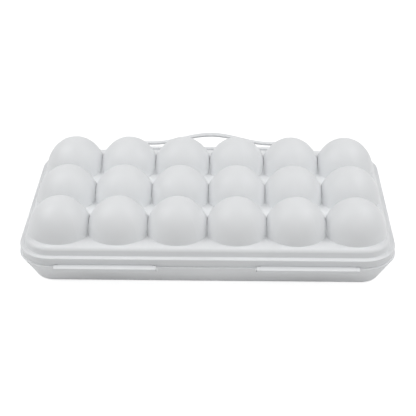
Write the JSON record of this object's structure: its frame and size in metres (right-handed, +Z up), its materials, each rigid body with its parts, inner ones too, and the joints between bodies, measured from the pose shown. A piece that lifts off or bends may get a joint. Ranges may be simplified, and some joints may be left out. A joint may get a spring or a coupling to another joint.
{
  "type": "egg storage box",
  "caption": "Flat plastic egg keeper: hinged lid of hollow round domes over a shallow tray with an inner cup rack, and a wave-shaped loop handle that folds up",
  "frame": {"origin": "centre of the tray's flat underside, on the surface that the box stands on", "axes": "X along the box's long side, to the right as seen from the hinge side; Y from the hinge side to the handle; Z up"},
  "size_m": [0.318, 0.2201, 0.0656],
  "materials": {
    "shell": "satin white moulded plastic",
    "rack": "satin white moulded plastic",
    "pin": "smooth white nylon"
  },
  "bodies": {
    "tray": {"base_tray": "shell", "egg_rack": "rack", "hinge_pin_left": "pin", "hinge_pin_right": "pin"},
    "lid": {"lid_shell": "shell", "handle_pin_left": "pin", "handle_pin_right": "pin"},
    "handle": {"carry_handle": "shell"}
  },
  "joints": [
    {"name": "lid_hinge", "type": "hinge", "parent": "tray", "child": "lid", "pos_m": [0, -0.0941, 0.023], "axis": [1, 0, 0], "range_deg": [0, 145]},
    {"name": "handle_fold", "type": "hinge", "parent": "lid", "child": "handle", "pos_m": [0, 0.0931, 0.0342], "axis": [1, 0, 0], "range_deg": [0, 90]}
  ]
}
